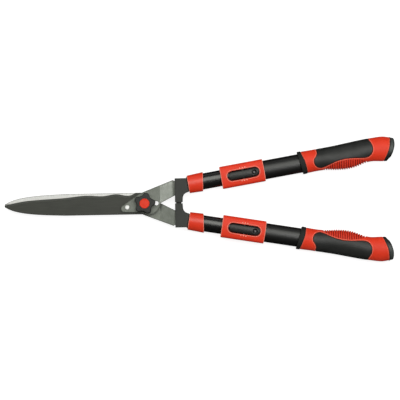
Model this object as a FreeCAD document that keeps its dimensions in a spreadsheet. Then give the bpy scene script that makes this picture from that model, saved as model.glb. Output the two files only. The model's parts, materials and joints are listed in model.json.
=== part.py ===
import FreeCAD, Part
import os
from math import atan2, cos, pi, radians, sin, sqrt

# Telescopic hedge shears, closed and collapsed.
# X runs along the shears from the blade tips (-X) to the handle ends (+X), Y across, Z up.
# The right half carries the front blade and lies on +Y at the handles. The left half is the same
# set of pieces turned half a turn about the long axis.

document = FreeCAD.newDocument("hedge_shears")
sheet = document.addObject("Spreadsheet::Sheet", "dims")

DIMENSIONS = [
    # placing
    ("pivot_x", -98.1, "pivot axis, along the shears"),
    ("mid_height", 17.0, "plane between the blades, over the resting surface"),
    ("handle_angle", 9.53, "each handle's axis to the long axis, degrees"),
    ("handle_offset", 19.4, "each handle's axis to the pivot axis"),
    ("running_gap", 0.05, "radial clearance of a turning fit"),
    ("slide_gap", 0.3, "clearance of the telescope's plastic guides"),
    # blades and levers
    ("plate_thickness", 3.0, "blades and lever plates"),
    ("half_blade_gap", 0.05, "inner face of a blade to the mid-plane"),
    ("blade_half_width", 19.2, "at the heel"),
    ("blade_reach", 248.2, "pivot to blade tip"),
    ("bevel_width", 4.0, "ground bevel along the cutting edge"),
    ("bevel_depth", 2.4, "ground bevel, in the thickness"),
    ("rivet_x", -30.9, "blade rivet, along"),
    ("rivet_y", -6.6, "blade rivet, across"),
    ("rivet_radius", 2.5, "blade rivet's shank"),
    ("rivet_head_radius", 4.0, "blade rivet's head"),
    ("rivet_head_height", 1.8, "blade rivet's head"),
    ("rivet_recess", 0.15, "rivet's end below the blade's inner face"),
    ("hang_hole_x", 21.1, "hole through both lever plates"),
    ("hang_hole_radius", 3.75, "hole through both lever plates"),
    ("joggle_start", 27.0, "bend of the arm, along"),
    ("joggle_end", 49.5, "end of the bend, along"),
    ("tang_half_width", 8.0, "lever's tang in the tube"),
    ("tang_end", 100.0, "end of the tang, along the handle"),
    ("tang_rivet_inset", 6.0, "tang rivet to the end of the tang"),
    # pivot
    ("bolt_radius", 6.0, "pivot bolt"),
    ("bolt_flat", 5.0, "axis to each flat of the bolt"),
    ("bolt_top", 14.6, "bolt's upper end over the mid-plane"),
    ("head_across_flats", 18.0, "bolt head and nut"),
    ("washer_radius", 14.0, "rear washer"),
    ("washer_thickness", 3.0, "rear washer"),
    ("disc_spring_radius", 12.5, "spring washer"),
    ("disc_spring_height", 1.2, "spring washer"),
    ("disc_spring_sheet", 0.8, "spring washer's sheet"),
    ("knob_bottom", 7.35, "knob's underside over the mid-plane"),
    ("knob_height", 10.4, "tension knob"),
    ("knob_reach", 19.2, "knob's axis to the tip of a lobe"),
    ("knob_waist", 14.5, "knob's axis to the bottom of a flute"),
    ("lobe_radius", 6.0, "round end of a lobe"),
    ("lobe_angle", 6.0, "first lobe's direction, degrees"),
    ("nut_height", 6.6, "nut in the knob"),
    ("cap_radius", 8.7, "knob's centre cap"),
    ("cap_depth", 2.2, "cap's seat in the knob"),
    ("cap_rise", 1.6, "cap over the knob"),
    ("cap_rim", 1.8, "width of the cap's raised rim"),
    ("cap_dish", 0.5, "cap's face below its rim"),
    # yokes
    ("yoke_front", 53.9, "front face, along"),
    ("yoke_outer", 43.6, "outer face, across"),
    ("yoke_half_height", 10.5, "yoke block"),
    ("yoke_face", 0.9, "yoke's inner face to the middle plane"),
    ("yoke_rear", 80.8, "rear face of the block, along the handle"),
    ("buffer_half_height", 7.0, "rubber buffer"),
    # tubes, as ellipses
    ("inner_half_width", 14.3, "inner tube"),
    ("inner_half_height", 8.5, "inner tube"),
    ("inner_wall", 1.2, "inner tube"),
    ("inner_end", 393.0, "inner tube's rear end, along the handle"),
    ("outer_half_width", 16.8, "outer tube"),
    ("outer_half_height", 10.6, "outer tube"),
    ("outer_wall", 1.0, "outer tube"),
    ("outer_start", 190.0, "outer tube's front end, along the handle"),
    ("outer_end", 434.0, "outer tube's rear end, along the handle"),
    ("hole_pitch", 30.0, "stop holes of the telescope"),
    ("hole_radius", 4.0, "stop holes of the telescope"),
    ("guide_start", 381.0, "guide cap on the inner tube"),
    ("guide_end", 396.0, "guide cap on the inner tube"),
    # collar
    ("collar_start", 82.0, "collar's front face, along the handle"),
    ("collar_rear", 104.2, "collar's rear face, along the shears"),
    # lock sleeve and rocker
    ("sleeve_start", 141.4, "along the handle"),
    ("sleeve_end", 218.5, "along the handle"),
    ("sleeve_bulge", 0.7, "rounding of the rear face"),
    ("sleeve_half_width", 19.9, "lock sleeve"),
    ("sleeve_half_height", 17.0, "lock sleeve"),
    ("sleeve_corner", 7.0, "radius of the long corners"),
    ("sleeve_crown", 60.0, "radius of the arched top"),
    ("window_length", 58.0, "pill-shaped window"),
    ("window_width", 17.8, "pill-shaped window"),
    ("rocker_middle", 181.5, "rocker's pin, along the handle"),
    ("rocker_length", 53.4, "rocker button"),
    ("rocker_width", 13.6, "rocker button"),
    ("rocker_rise", 0.9, "crown of the rocker over the sleeve"),
    ("rocker_seat", 14.7, "rocker's underside on its spring, over the mid-plane"),
    ("dimple_radius", 8.0, "hollow for the thumb"),
    ("dimple_reach", 19.5, "hollow for the thumb, from the pin"),
    ("dimple_height", 6.8, "middle of the hollow's sphere over the sleeve"),
    ("pin_radius", 1.5, "rocker's pin"),
    ("pin_height", 13.5, "rocker's pin over the mid-plane"),
    ("pin_half_length", 12.0, "rocker's pin"),
    ("tooth_position", 160.0, "rocker's tooth and first hole, along the handle"),
    ("tooth_radius", 2.8, "rocker's tooth"),
    ("spring_position", 199.5, "along the handle"),
    ("spring_radius", 2.3, "rocker's spring, to the wire's middle"),
    ("spring_wire", 0.35, "radius of the spring's wire"),
    # grip
    ("grip_half_height", 16.0, "grip"),
    ("overlay_depth", 2.5, "soft overlay of the grip"),
    ("left_grip_shift", 4.5, "left grip's place, nearer to the pivot than the right one's"),
]
for row, (alias, value, meaning) in enumerate(DIMENSIONS, start=1):
    sheet.set("A%d" % row, alias)
    sheet.set("B%d" % row, str(value))
    sheet.set("C%d" % row, meaning)
    sheet.setAlias("B%d" % row, alias)
document.recompute()


def size(alias):
    """Value of one driving dimension."""
    return float(sheet.get(alias))


def vector(x, y, z=0.0):
    return FreeCAD.Vector(x, y, z)


X, Y, Z = vector(1, 0, 0), vector(0, 1, 0), vector(0, 0, 1)
LAID_ACROSS = FreeCAD.Rotation(X, -90)
THROUGH = "40 mm"  # length of a tool that cuts right through, half of it on each side of the mid-plane
ANGLE = radians(size("handle_angle"))


def on_handle(along, across):
    """Point of the right handle's own frame, in the pivot's frame."""
    offset = size("handle_offset") + across
    return vector(along * cos(ANGLE) - offset * sin(ANGLE), along * sin(ANGLE) + offset * cos(ANGLE))


def to_handle(x, y):
    """Point of the pivot's frame, in the right handle's own frame."""
    along = x * cos(ANGLE) + y * sin(ANGLE)
    return vector(along, y * cos(ANGLE) - x * sin(ANGLE) - size("handle_offset"))


def at_pivot(left=False):
    """Frame of the pivot. The left half is turned half a turn about the long axis."""
    turn = FreeCAD.Rotation(X, 180 if left else 0)
    return FreeCAD.Placement(vector(size("pivot_x"), 0, size("mid_height")), turn)


def at_handle(left=False, upright=False):
    """Frame of a handle: x along it, y outwards, z up. The left handle's pieces are turned over,
    apart from upright ones, which are the same on both sides of the handle's axis."""
    foot = on_handle(0, 0)
    base = vector(size("pivot_x") + foot.x, -foot.y if left else foot.y, size("mid_height"))
    yaw = FreeCAD.Rotation(Z, -size("handle_angle") if left else size("handle_angle"))
    over = FreeCAD.Rotation(X, 180 if left and not upright else 0)
    return FreeCAD.Placement(base, yaw.multiply(over))


# ---------------------------------------------------------------- building blocks

nodes = []


def keep(piece, label, placement):
    """Make an object one of the sub-parts: its label names its file."""
    piece.Label = label
    piece.Placement = placement
    nodes.append(piece)
    return piece


def bind(item, **expressions):
    """Bind properties to expressions of the sheet's cells. Two underscores stand for a dot."""
    for name, expression in expressions.items():
        item.setExpression(name.replace("__", "."), expression)
    return item


def new_body(name):
    return document.addObject("PartDesign::Body", name)


def new_sketch(body, name, geometry, plane="XY_Plane", offset=None):
    """Sketch on one of the body's own origin planes, shifted along the plane's normal."""
    sketch = body.newObject("Sketcher::SketchObject", name)
    support = next(f for f in body.Origin.OriginFeatures if f.Role == plane)
    sketch.AttachmentSupport = (support, [""])
    sketch.MapMode = "FlatFace"
    if offset:
        sketch.setExpression("AttachmentOffset.Base.z", offset)
    sketch.addGeometry(geometry, False)
    return sketch


def pad(body, sketch, length):
    feature = body.newObject("PartDesign::Pad", sketch.Name + "_pad")
    feature.Profile = sketch
    bind(feature, Length=length)
    sketch.Visibility = False
    return feature


def plan_prism(name, geometry, bottom, height):
    """Body with one pad of a plan outline."""
    body = new_body(name)
    pad(body, new_sketch(body, name + "_outline", geometry, offset=bottom), height)
    return body


def outline(start, *legs):
    """Closed outline. A leg is an end point, an arc (middle, end) or a curve [points ... end]."""
    geometry = []
    here = start
    for leg in legs:
        if isinstance(leg, list):
            curve = Part.BSplineCurve()
            curve.interpolate([here] + leg)
            geometry.append(curve)
            here = leg[-1]
        elif isinstance(leg, tuple):
            geometry.append(Part.Arc(here, leg[0], leg[1]))
            here = leg[1]
        else:
            geometry.append(Part.LineSegment(here, leg))
            here = leg
    if here.distanceToPoint(start) > 1e-6:
        geometry.append(Part.LineSegment(here, start))
    return geometry


def box(name, length, width, height, x, z):
    """Box of the handle's frame that starts at x and z and is centred across."""
    block = document.addObject("Part::Box", name)
    bind(block, Length=length, Width=width, Height=height)
    bind(block, Placement__Base__x=x, Placement__Base__y="-(%s) / 2" % width, Placement__Base__z=z)
    return block


def through_hole(name, radius, x="0", y="0"):
    """Upright cylinder that cuts through everything above and below a place."""
    return cylinder(name, radius, THROUGH, x, y, "-(%s) / 2" % THROUGH)


def cylinder(name, radius, height, x="0", y="0", z="0", tilt=None):
    """Cylinder along z, or along the axis that tilt turns z to."""
    rod = document.addObject("Part::Cylinder", name)
    bind(rod, Radius=radius, Height=height)
    if tilt:
        rod.Placement = FreeCAD.Placement(vector(0, 0, 0), tilt)
    bind(rod, Placement__Base__x=x, Placement__Base__y=y, Placement__Base__z=z)
    return rod


def bare(primitive):
    """Free a primitive's place from its expressions, for a sub-part that is one primitive."""
    for axis in "xyz":
        primitive.setExpression("Placement.Base." + axis, None)
    return primitive


def oval(name, half_width, half_height, start, end):
    """Bar of elliptic section along the handle."""
    section = document.addObject("Part::Ellipse", name + "_section")
    bind(section, MajorRadius=half_width, MinorRadius=half_height)
    section.Placement = FreeCAD.Placement(vector(0, 0, 0), FreeCAD.Rotation(vector(1, 1, 1), 120))
    bind(section, Placement__Base__x=start)
    bar = document.addObject("Part::Extrusion", name)
    bar.Base = section
    bar.DirMode = "Custom"
    bar.Dir = vector(1, 0, 0)
    bar.Solid = True
    bind(bar, LengthFwd="(%s) - (%s)" % (end, start))
    return bar


def oval_loft(name, sections):
    """Body through elliptic sections: along the handle, outer edge, inner edge and half height."""
    body = new_body(name)
    sketches = []
    for number, (along, outer, inner, high) in enumerate(sections):
        half = (outer - inner) / 2
        ellipse = Part.Ellipse(vector(0, 0), max(half, high), min(half, high))
        ellipse.Center = vector((outer + inner) / 2, 0)
        sketches.append(new_sketch(body, "%s_section_%d" % (name, number), [ellipse], "YZ_Plane",
                                   "%g mm" % along))
    loft = body.newObject("PartDesign::AdditiveLoft", name + "_loft")
    loft.Profile = sketches[0]
    loft.Sections = sketches[1:]
    return body


def hexagon(name, across_flats, height, z):
    prism = document.addObject("Part::Prism", name)
    prism.Polygon = 6
    bind(prism, Circumradius="(%s) / 2 / cos(30)" % across_flats, Height=height, Placement__Base__z=z)
    return prism


def cut(name, base, *tools):
    result = document.addObject("Part::Cut", name)
    result.Base = base
    result.Tool = tools[0] if len(tools) == 1 else fuse(name + "_tools", *tools)
    return result


def fuse(name, *shapes):
    result = document.addObject("Part::MultiFuse", name)
    result.Shapes = list(shapes)
    return result


def common(name, first, second):
    result = document.addObject("Part::Common", name)
    result.Base = first
    result.Tool = second
    return result


def round_edges(name, base, radius, chosen):
    """Fillet of the base's edges that the test picks."""
    document.recompute()
    numbers = [i for i, edge in enumerate(base.Shape.Edges, start=1) if chosen(edge)]
    result = document.addObject("Part::Fillet", name)
    result.Base = base
    result.Edges = [(i, radius, radius) for i in numbers]
    return result


def is_round(edge):
    return edge.Curve.TypeId == "Part::GeomCircle"


def runs_along(edge, direction):
    """True for a straight edge along the direction."""
    if edge.Curve.TypeId != "Part::GeomLine":
        return False
    return abs(edge.Curve.Direction.dot(direction)) > 0.999


# ---------------------------------------------------------------- blades, levers, blade rivets

def blade_outline():
    """Front blade from above: straight spine on -Y, wavy cutting edge on +Y, heel at the pivot."""
    half = size("blade_half_width")
    tip = -size("blade_reach")
    spine = [vector(-165, -18.2), vector(-197, -16.1), vector(-218, -13.2), vector(-234, -9.1),
             vector(tip + 2.0, -3.4)]
    edge = [vector(-234, 3.8), vector(-213, 7.5), vector(-190, 9.5), vector(-165, 10.9),
            vector(-143, 12.0), vector(-127, 13.6), vector(-115, 15.0), vector(-104, 15.6),
            vector(-92, 15.2), vector(-80, 14.2), vector(-70, 14.6), vector(-60, 16.3),
            vector(-52, 17.2), vector(-43, 16.5), vector(-36, 14.9), vector(-30, 14.4)]
    heel = vector(size("hang_hole_x") - size("hang_hole_radius") - 0.4, 0)
    return outline(vector(0, -half), vector(-140, -half), spine,
                   (vector(tip, -1.1), vector(tip + 2.0, 1.0)), edge,
                   [vector(-25, 14.8), vector(-20, 16.9), vector(-15, half)], vector(0, half),
                   (heel, vector(0, -half)))


def make_blade(label, left):
    body = plan_prism(label, blade_outline(), "dims.half_blade_gap", "dims.plate_thickness")
    document.recompute()
    top = size("half_blade_gap") + size("plate_thickness")
    base = body.Tip
    ground = [i for i, edge in enumerate(base.Shape.Edges, start=1)
              if edge.BoundBox.ZMin > top - 1e-3 and edge.Length > 100
              and edge.Curve.TypeId == "Part::GeomBSplineCurve" and edge.BoundBox.YMax > 0]
    bevel = body.newObject("PartDesign::Chamfer", label + "_bevel")
    bevel.Base = (base, ["Edge%d" % i for i in ground])
    bevel.ChamferType = "Two distances"
    bind(bevel, Size="dims.bevel_depth", Size2="dims.bevel_width")
    holes = [Part.Circle(vector(0, 0), Z, size("bolt_radius") + size("running_gap")),
             Part.Circle(vector(size("rivet_x"), size("rivet_y")), Z, size("rivet_radius"))]
    sketch = new_sketch(body, label + "_holes", holes)
    pocket = body.newObject("PartDesign::Pocket", label + "_bores")
    pocket.Profile = sketch
    pocket.Type = "ThroughAll"
    pocket.Reversed = True
    return keep(body, label, at_pivot(left))


def lever_outline():
    """Front lever from above: nose on the blade, boss round the pivot, arm and tang on +Y."""
    half_tang = size("tang_half_width")
    return outline(
        vector(28.2, 0), vector(57.0, 14.8), on_handle(68, -half_tang),
        on_handle(size("tang_end"), -half_tang), on_handle(size("tang_end"), half_tang),
        on_handle(68, half_tang), vector(56.5, 37.5), vector(50.3, 40.6), vector(0, 21.1),
        (vector(-6.8, 18.1), vector(-14, 14.2)), vector(-40.4, -4.2),
        (vector(-42.2, -10.1), vector(-37.4, -15.0)), vector(-9.0, -15.9),
        (vector(-3.6, -17.1), vector(0.6, -19.5)), (vector(7.0, -20.7), vector(14.0, -19.0)),
        (vector(24.0, -11.2), vector(28.2, 0)))


def make_lever(label, left):
    """Plate bent down from its place on the blade to the handle's mid-plane."""
    plan = plan_prism(label + "_plan", lever_outline(), "-dims.plate_thickness",
                      "3 * dims.plate_thickness")
    low = size("half_blade_gap") + size("plate_thickness")
    thick = size("plate_thickness")
    start, end = size("joggle_start"), size("joggle_end")
    side = new_body(label + "_side")
    front, rear = -60, 120
    profile = outline(vector(front, low), vector(start, low), vector(end, -thick / 2),
                      vector(rear, -thick / 2), vector(rear, thick / 2), vector(end, thick / 2),
                      vector(start, low + thick), vector(front, low + thick))
    sketch = new_sketch(side, label + "_profile", profile, plane="XZ_Plane", offset="-80 mm")
    pad(side, sketch, "160 mm")
    bent = common(label + "_bent", plan, side)
    rivet_hole = through_hole(label + "_rivet_hole", "dims.rivet_radius", "dims.rivet_x", "dims.rivet_y")
    hang_hole = through_hole(label + "_hang_hole", "dims.hang_hole_radius", "dims.hang_hole_x")
    tang_middle = on_handle(size("tang_end") - size("tang_rivet_inset"), 0)
    tang_hole = through_hole(label + "_tang_hole", "dims.rivet_radius",
                             "%g mm" % tang_middle.x, "%g mm" % tang_middle.y)
    if left:
        # the bolt's two flats are held by the back lever
        round_hole = through_hole(label + "_round", "dims.bolt_radius")
        flats = box(label + "_flats", "4 * dims.bolt_radius", "2 * dims.bolt_flat", THROUGH,
                    "-2 * dims.bolt_radius", "-(%s) / 2" % THROUGH)
        bolt_hole = common(label + "_bolt_hole", round_hole, flats)
    else:
        bolt_hole = through_hole(label + "_bolt_hole", "dims.bolt_radius + dims.running_gap")
    return keep(cut(label, bent, rivet_hole, hang_hole, tang_hole, bolt_hole), label, at_pivot(left))


def revolved(name, profile):
    """Body turned about the vertical axis from a half profile given in x and z."""
    body = new_body(name)
    sketch = new_sketch(body, name + "_profile", profile, plane="XZ_Plane")
    turn = body.newObject("PartDesign::Revolution", name + "_turn")
    turn.Profile = sketch
    turn.ReferenceAxis = (sketch, ["V_Axis"])
    turn.Angle = 360
    return body


def make_blade_rivet(label, left):
    """Dome-headed rivet through the lever's nose and the blade, flush at the blade's inner face."""
    top = size("half_blade_gap") + 2 * size("plate_thickness")
    shank = cylinder(label + "_shank", "dims.rivet_radius",
                     "2 * dims.plate_thickness - dims.rivet_recess",
                     z="dims.half_blade_gap + dims.rivet_recess")
    head = cylinder(label + "_disc", "dims.rivet_head_radius", "dims.rivet_head_height",
                    z="dims.half_blade_gap + 2 * dims.plate_thickness")
    dome = round_edges(label + "_dome", head, size("rivet_head_height") - 0.1,
                       lambda edge: is_round(edge) and edge.BoundBox.ZMin > top + 1e-3)
    offset = vector(size("rivet_x"), size("rivet_y"), 0)
    place = at_pivot(left).multiply(FreeCAD.Placement(offset, FreeCAD.Rotation()))
    return keep(fuse(label, shank, dome), label, place)


# ---------------------------------------------------------------- pivot bolt, washers, knob

def make_pivot_bolt():
    """Hexagon head below, a stem with two flats through the back half and a round stem above."""
    plates_bottom = "dims.half_blade_gap + 2 * dims.plate_thickness"
    head_height = "dims.mid_height - dims.washer_thickness - (%s)" % plates_bottom
    head = hexagon("bolt_head_block", "dims.head_across_flats", head_height, "-dims.mid_height")
    dome = cylinder("bolt_head_round", "dims.head_across_flats * 0.55", head_height, z="-dims.mid_height")
    dome = round_edges("bolt_head_dome", dome, 1.6,
                       lambda edge: is_round(edge) and edge.BoundBox.ZMax < -size("mid_height") + 1e-3)
    sunk = "4"  # the stem starts inside the head
    shank = cylinder("bolt_shank", "dims.bolt_radius", "dims.mid_height + dims.bolt_top - " + sunk,
                     z="-dims.mid_height + " + sunk)
    flats = box("bolt_flats", "4 * dims.bolt_radius", "2 * dims.bolt_flat",
                "dims.mid_height - dims.half_blade_gap - dims.plate_thickness - " + sunk,
                "-2 * dims.bolt_radius", "-dims.mid_height + " + sunk)
    upper = cylinder("bolt_upper", "2 * dims.bolt_radius", THROUGH,
                     z="-dims.half_blade_gap - dims.plate_thickness")
    room = fuse("bolt_room", flats, upper)
    body = fuse("pivot_bolt", common("bolt_head", head, dome), common("bolt_stem", shank, room))
    return keep(body, "pivot_bolt", at_pivot())


def make_pivot_washer():
    disc = cylinder("pivot_washer_disc", "dims.washer_radius", "dims.washer_thickness",
                    z="-dims.half_blade_gap - 2 * dims.plate_thickness - dims.washer_thickness")
    hole = through_hole("pivot_washer_hole", "dims.bolt_radius + 0.2")
    disc = round_edges("pivot_washer_round", disc, 0.5, is_round)
    return keep(cut("pivot_washer", disc, hole), "pivot_washer", at_pivot())


def make_spring_washer():
    """Shallow cone that keeps the blades pressed together."""
    low = size("half_blade_gap") + 2 * size("plate_thickness")
    inner, outer = size("bolt_radius") + 0.3, size("disc_spring_radius")
    thick = size("disc_spring_sheet")
    rise = size("disc_spring_height") - thick
    profile = outline(vector(outer, low), vector(outer, low + thick),
                      vector(inner, low + thick + rise), vector(inner, low + rise))
    return keep(revolved("spring_washer", profile), "spring_washer", at_pivot())


def knob_outline():
    """Star of five round lobes joined by round flutes, every arc tangent to the next."""
    lobes = 5
    lobe = size("lobe_radius")
    lobe_centre = size("knob_reach") - lobe
    waist = size("knob_waist")
    half_step = pi / lobes
    flute_centre = ((lobe_centre ** 2 - (lobe - waist) ** 2)
                    / (2 * (lobe_centre * cos(half_step) + lobe - waist)))
    flute = flute_centre - waist
    legs = []
    polar = lambda radius, angle: vector(radius * cos(angle), radius * sin(angle))
    for number in range(lobes):
        middle = radians(size("lobe_angle")) + 2 * half_step * number
        centre = polar(lobe_centre, middle)
        touch = []
        for side in (-1, 1):
            beside = polar(flute_centre, middle + side * half_step)
            touch.append(centre + (beside - centre) * (lobe / (lobe + flute)))
        if number == 0:
            start = touch[0]
        else:
            legs.append((polar(waist, middle - half_step), touch[0]))
        legs.append((polar(size("knob_reach"), middle), touch[1]))
    legs.append((polar(waist, radians(size("lobe_angle")) - half_step), start))
    return outline(start, *legs)


def make_knob():
    star = plan_prism("knob_star", knob_outline(), "dims.knob_bottom", "dims.knob_height")
    top = size("knob_bottom") + size("knob_height")
    star = round_edges("knob_rounded", star, 1.8, lambda edge: edge.BoundBox.ZMin > top - 1e-3)
    through = through_hole("knob_hole", "dims.bolt_radius + 0.4")
    nut_seat = hexagon("knob_nut_seat", "dims.head_across_flats", "dims.nut_height", "dims.knob_bottom")
    cap_seat = cylinder("knob_cap_seat", "dims.cap_radius", THROUGH,
                        z="dims.knob_bottom + dims.knob_height - dims.cap_depth")
    return keep(cut("tension_knob", star, through, nut_seat, cap_seat), "tension_knob", at_pivot())


def make_knob_nut():
    """Nut pressed into the knob from below. It bears on the spring washer."""
    nut = hexagon("knob_nut_block", "dims.head_across_flats", "dims.nut_height", "dims.knob_bottom")
    hole = through_hole("knob_nut_hole", "dims.bolt_radius + dims.running_gap")
    return keep(cut("knob_nut", nut, hole), "knob_nut", at_pivot())


def make_knob_cap():
    """Round cap with a raised rim, pressed into the knob over the nut."""
    rim = size("knob_bottom") + size("knob_height") + size("cap_rise")
    disc = cylinder("knob_cap_disc", "dims.cap_radius", "dims.cap_depth + dims.cap_rise",
                    z="dims.knob_bottom + dims.knob_height - dims.cap_depth")
    rounded = round_edges("knob_cap_rounded", disc, 0.9,
                          lambda edge: is_round(edge) and edge.BoundBox.ZMin > rim - 1e-3)
    dish = cylinder("knob_cap_dish", "dims.cap_radius - dims.cap_rim", THROUGH,
                    z="dims.knob_bottom + dims.knob_height + dims.cap_rise - dims.cap_dish")
    return keep(cut("knob_cap", rounded, dish), "knob_cap", at_pivot())


# ---------------------------------------------------------------- yokes, buffers, collars, tangs

TANG_RIVET = "dims.tang_end - dims.tang_rivet_inset"


def yoke_outline():
    """Right yoke from above: block on the arm, and a bridge to the middle plane."""
    front, outer, face = size("yoke_front"), size("yoke_outer"), size("yoke_face")
    rear = size("yoke_rear")
    reach = (outer - rear * sin(ANGLE)) / cos(ANGLE) - size("handle_offset")
    return outline(to_handle(front, face), to_handle(front, outer), vector(rear, reach),
                   vector(rear, -13.4), to_handle(76.6, 18.5),
                   (to_handle(70.4, 15.0), to_handle(67.8, 8.0)), to_handle(67.4, face))


def buffer_outline():
    """Rubber block in the bridge's end, flush with the middle plane."""
    front, rear, depth = size("yoke_front") + 1.8, size("yoke_front") + 11.3, 6.0
    return outline(to_handle(front, 0), to_handle(front, depth), to_handle(rear, depth),
                   to_handle(rear, 0))


def make_yoke(label, left):
    """Moulded block round the lever's arm, with a spigot for the tube behind it."""
    block = plan_prism(label + "_block", yoke_outline(), "-dims.yoke_half_height",
                       "2 * dims.yoke_half_height")
    high = size("yoke_half_height")
    block = round_edges(label + "_rounded", block, 1.2,
                        lambda edge: edge.BoundBox.ZMin > high - 1e-3 or edge.BoundBox.ZMax < 1e-3 - high)
    wall = "(dims.inner_wall + 0.1)"
    spigot = oval(label + "_spigot", "dims.inner_half_width - " + wall,
                  "dims.inner_half_height - " + wall, "dims.yoke_rear - 0.5", "dims.tang_end + 4")
    arm = outline(to_handle(50.3, 40.6), to_handle(56.5, 37.5), vector(68, size("tang_half_width")),
                  vector(size("tang_end"), size("tang_half_width")),
                  vector(size("tang_end"), -size("tang_half_width")),
                  vector(68, -size("tang_half_width")), to_handle(57.0, 14.8), to_handle(50.0, 11.2))
    arm_room = plan_prism(label + "_arm_room", arm, "-dims.plate_thickness / 2", "dims.plate_thickness")
    pad_room = plan_prism(label + "_pad_room", buffer_outline(), "-dims.buffer_half_height",
                          "2 * dims.buffer_half_height")
    rivet_hole = through_hole(label + "_rivet_hole", "dims.rivet_radius", TANG_RIVET)
    whole = fuse(label + "_whole", block, spigot)
    return keep(cut(label, whole, arm_room, pad_room, rivet_hole), label, at_handle(left))


def make_buffer(label, left):
    block = plan_prism(label, buffer_outline(), "-dims.buffer_half_height", "2 * dims.buffer_half_height")
    return keep(block, label, at_handle(left))


def make_tang_rivet(label, left):
    """Flush rivet through tube, spigot and tang, hidden by the collar."""
    sunk = 0.2
    rod = bare(cylinder(label, "dims.rivet_radius", "2 * dims.inner_half_height - %g" % (2 * sunk)))
    foot = vector(size("tang_end") - size("tang_rivet_inset"), 0, sunk - size("inner_half_height"))
    shift = FreeCAD.Placement(foot, FreeCAD.Rotation())
    return keep(rod, label, at_handle(left).multiply(shift))


def make_collar(label, left):
    """Oval ring that widens to the rear. Its rear face is square to the shears' long axis."""
    # along the handle: outer edge, inner edge and half height
    sections = [(82.0, 15.4, -16.2, 12.0), (120.0, 17.0, -17.7, 13.0)]
    whole = oval_loft(label + "_cone", sections)
    start, wide = size("collar_start"), 30
    rear = size("collar_rear")
    plan = outline(vector(start, -wide), to_handle(rear, -5), to_handle(rear, 75), vector(start, wide))
    block = common(label + "_block", whole, plan_prism(label + "_length", plan, "-15 mm", "30 mm"))
    block = round_edges(label + "_eased", block, 1.0, lambda edge: edge.BoundBox.YLength > 5)
    bore = oval(label + "_bore", "dims.inner_half_width", "dims.inner_half_height",
                "dims.collar_start - 5", "dims.collar_start + 60")
    return keep(cut(label, block, bore), label, at_handle(left))


# ---------------------------------------------------------------- tubes

def make_inner_tube(label, left):
    """Oval tube with the row of holes that the rocker's tooth drops into."""
    start = "dims.collar_start + 1"
    bar = oval(label + "_bar", "dims.inner_half_width", "dims.inner_half_height", start, "dims.inner_end")
    bore = oval(label + "_bore", "dims.inner_half_width - dims.inner_wall",
                "dims.inner_half_height - dims.inner_wall", start + " - 1", "dims.inner_end + 1")
    stops = 7
    holes = [cylinder("%s_hole_%d" % (label, step), "dims.hole_radius", "2 * dims.inner_half_height",
                      "dims.tooth_position + %d * dims.hole_pitch" % step) for step in range(stops)]
    rivet_hole = through_hole(label + "_rivet_hole", "dims.rivet_radius", TANG_RIVET)
    return keep(cut(label, bar, bore, rivet_hole, *holes), label, at_handle(left, upright=True))


def make_guide_cap(label, left):
    """Plastic cap on the inner tube's hidden end: it guides the tube, and stops it at the sleeve."""
    wall = "(dims.outer_wall + dims.slide_gap)"
    bar = oval(label + "_bar", "dims.outer_half_width - " + wall, "dims.outer_half_height - " + wall,
               "dims.guide_start", "dims.guide_end")
    room = oval(label + "_room", "dims.inner_half_width", "dims.inner_half_height",
                "dims.guide_start - 1", "dims.inner_end")
    return keep(cut(label, bar, room), label, at_handle(left))


def make_outer_tube(label, left):
    end = "dims.outer_end - dims.left_grip_shift" if left else "dims.outer_end"
    bar = oval(label + "_bar", "dims.outer_half_width", "dims.outer_half_height", "dims.outer_start", end)
    bore = oval(label + "_bore", "dims.outer_half_width - dims.outer_wall",
                "dims.outer_half_height - dims.outer_wall", "dims.outer_start - 1", "dims.outer_end + 1")
    return keep(cut(label, bar, bore), label, at_handle(left))


# ---------------------------------------------------------------- lock sleeve and rocker

def sleeve_section():
    """Section across the sleeve, in y and z: flat bottom, round corners and an arched top."""
    half, high = size("sleeve_half_width"), size("sleeve_half_height")
    corner, crown = size("sleeve_corner"), size("sleeve_crown")
    inset = half - corner
    rise = sqrt((crown - corner) ** 2 - inset ** 2)
    centre = high - crown + rise
    tilt = atan2(rise, inset)
    shoulder = vector(crown * cos(tilt), high - crown + crown * sin(tilt))
    bend = vector(inset + corner * cos(tilt / 2), centre + corner * sin(tilt / 2))
    low = corner * (1 - cos(radians(45)))
    return outline(
        vector(-inset, -high), vector(inset, -high),
        (vector(half - low, low - high), vector(half, corner - high)),
        vector(half, centre), (bend, shoulder), (vector(0, high), vector(-shoulder.x, shoulder.y)),
        (vector(-bend.x, bend.y), vector(-half, centre)), vector(-half, corner - high),
        (vector(low - half, low - high), vector(-inset, -high)))


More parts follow.
